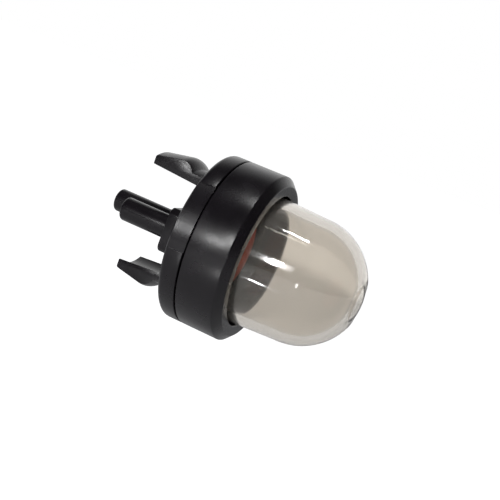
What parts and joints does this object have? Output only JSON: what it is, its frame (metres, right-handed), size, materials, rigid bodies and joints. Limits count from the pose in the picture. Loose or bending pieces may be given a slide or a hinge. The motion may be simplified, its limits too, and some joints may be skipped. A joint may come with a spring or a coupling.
{
  "type": "primer bulb",
  "caption": "Snap-in fuel primer bulb: a clear domed bulb clamped in a black ring with snap legs and hose nipples, with a red check valve inside.",
  "frame": {"origin": "centre of the ring's rear seating face, on the bulb's axis, which is the centre of the panel hole", "axes": "+X out along the axis through the bulb's crown, +Z through the two snap legs, -Y towards the short inlet nipple"},
  "size_m": [0.0349, 0.0222, 0.0222],
  "materials": {
    "black_plastic": "satin black nylon",
    "clear_urethane": "clear, slightly warm flexible urethane",
    "red_rubber": "matt brick red"
  },
  "bodies": {
    "root": {"base": "black_plastic", "retaining_collar": "black_plastic", "bulb": "clear_urethane", "check_valve": "red_rubber"}
  },
  "joints": []
}
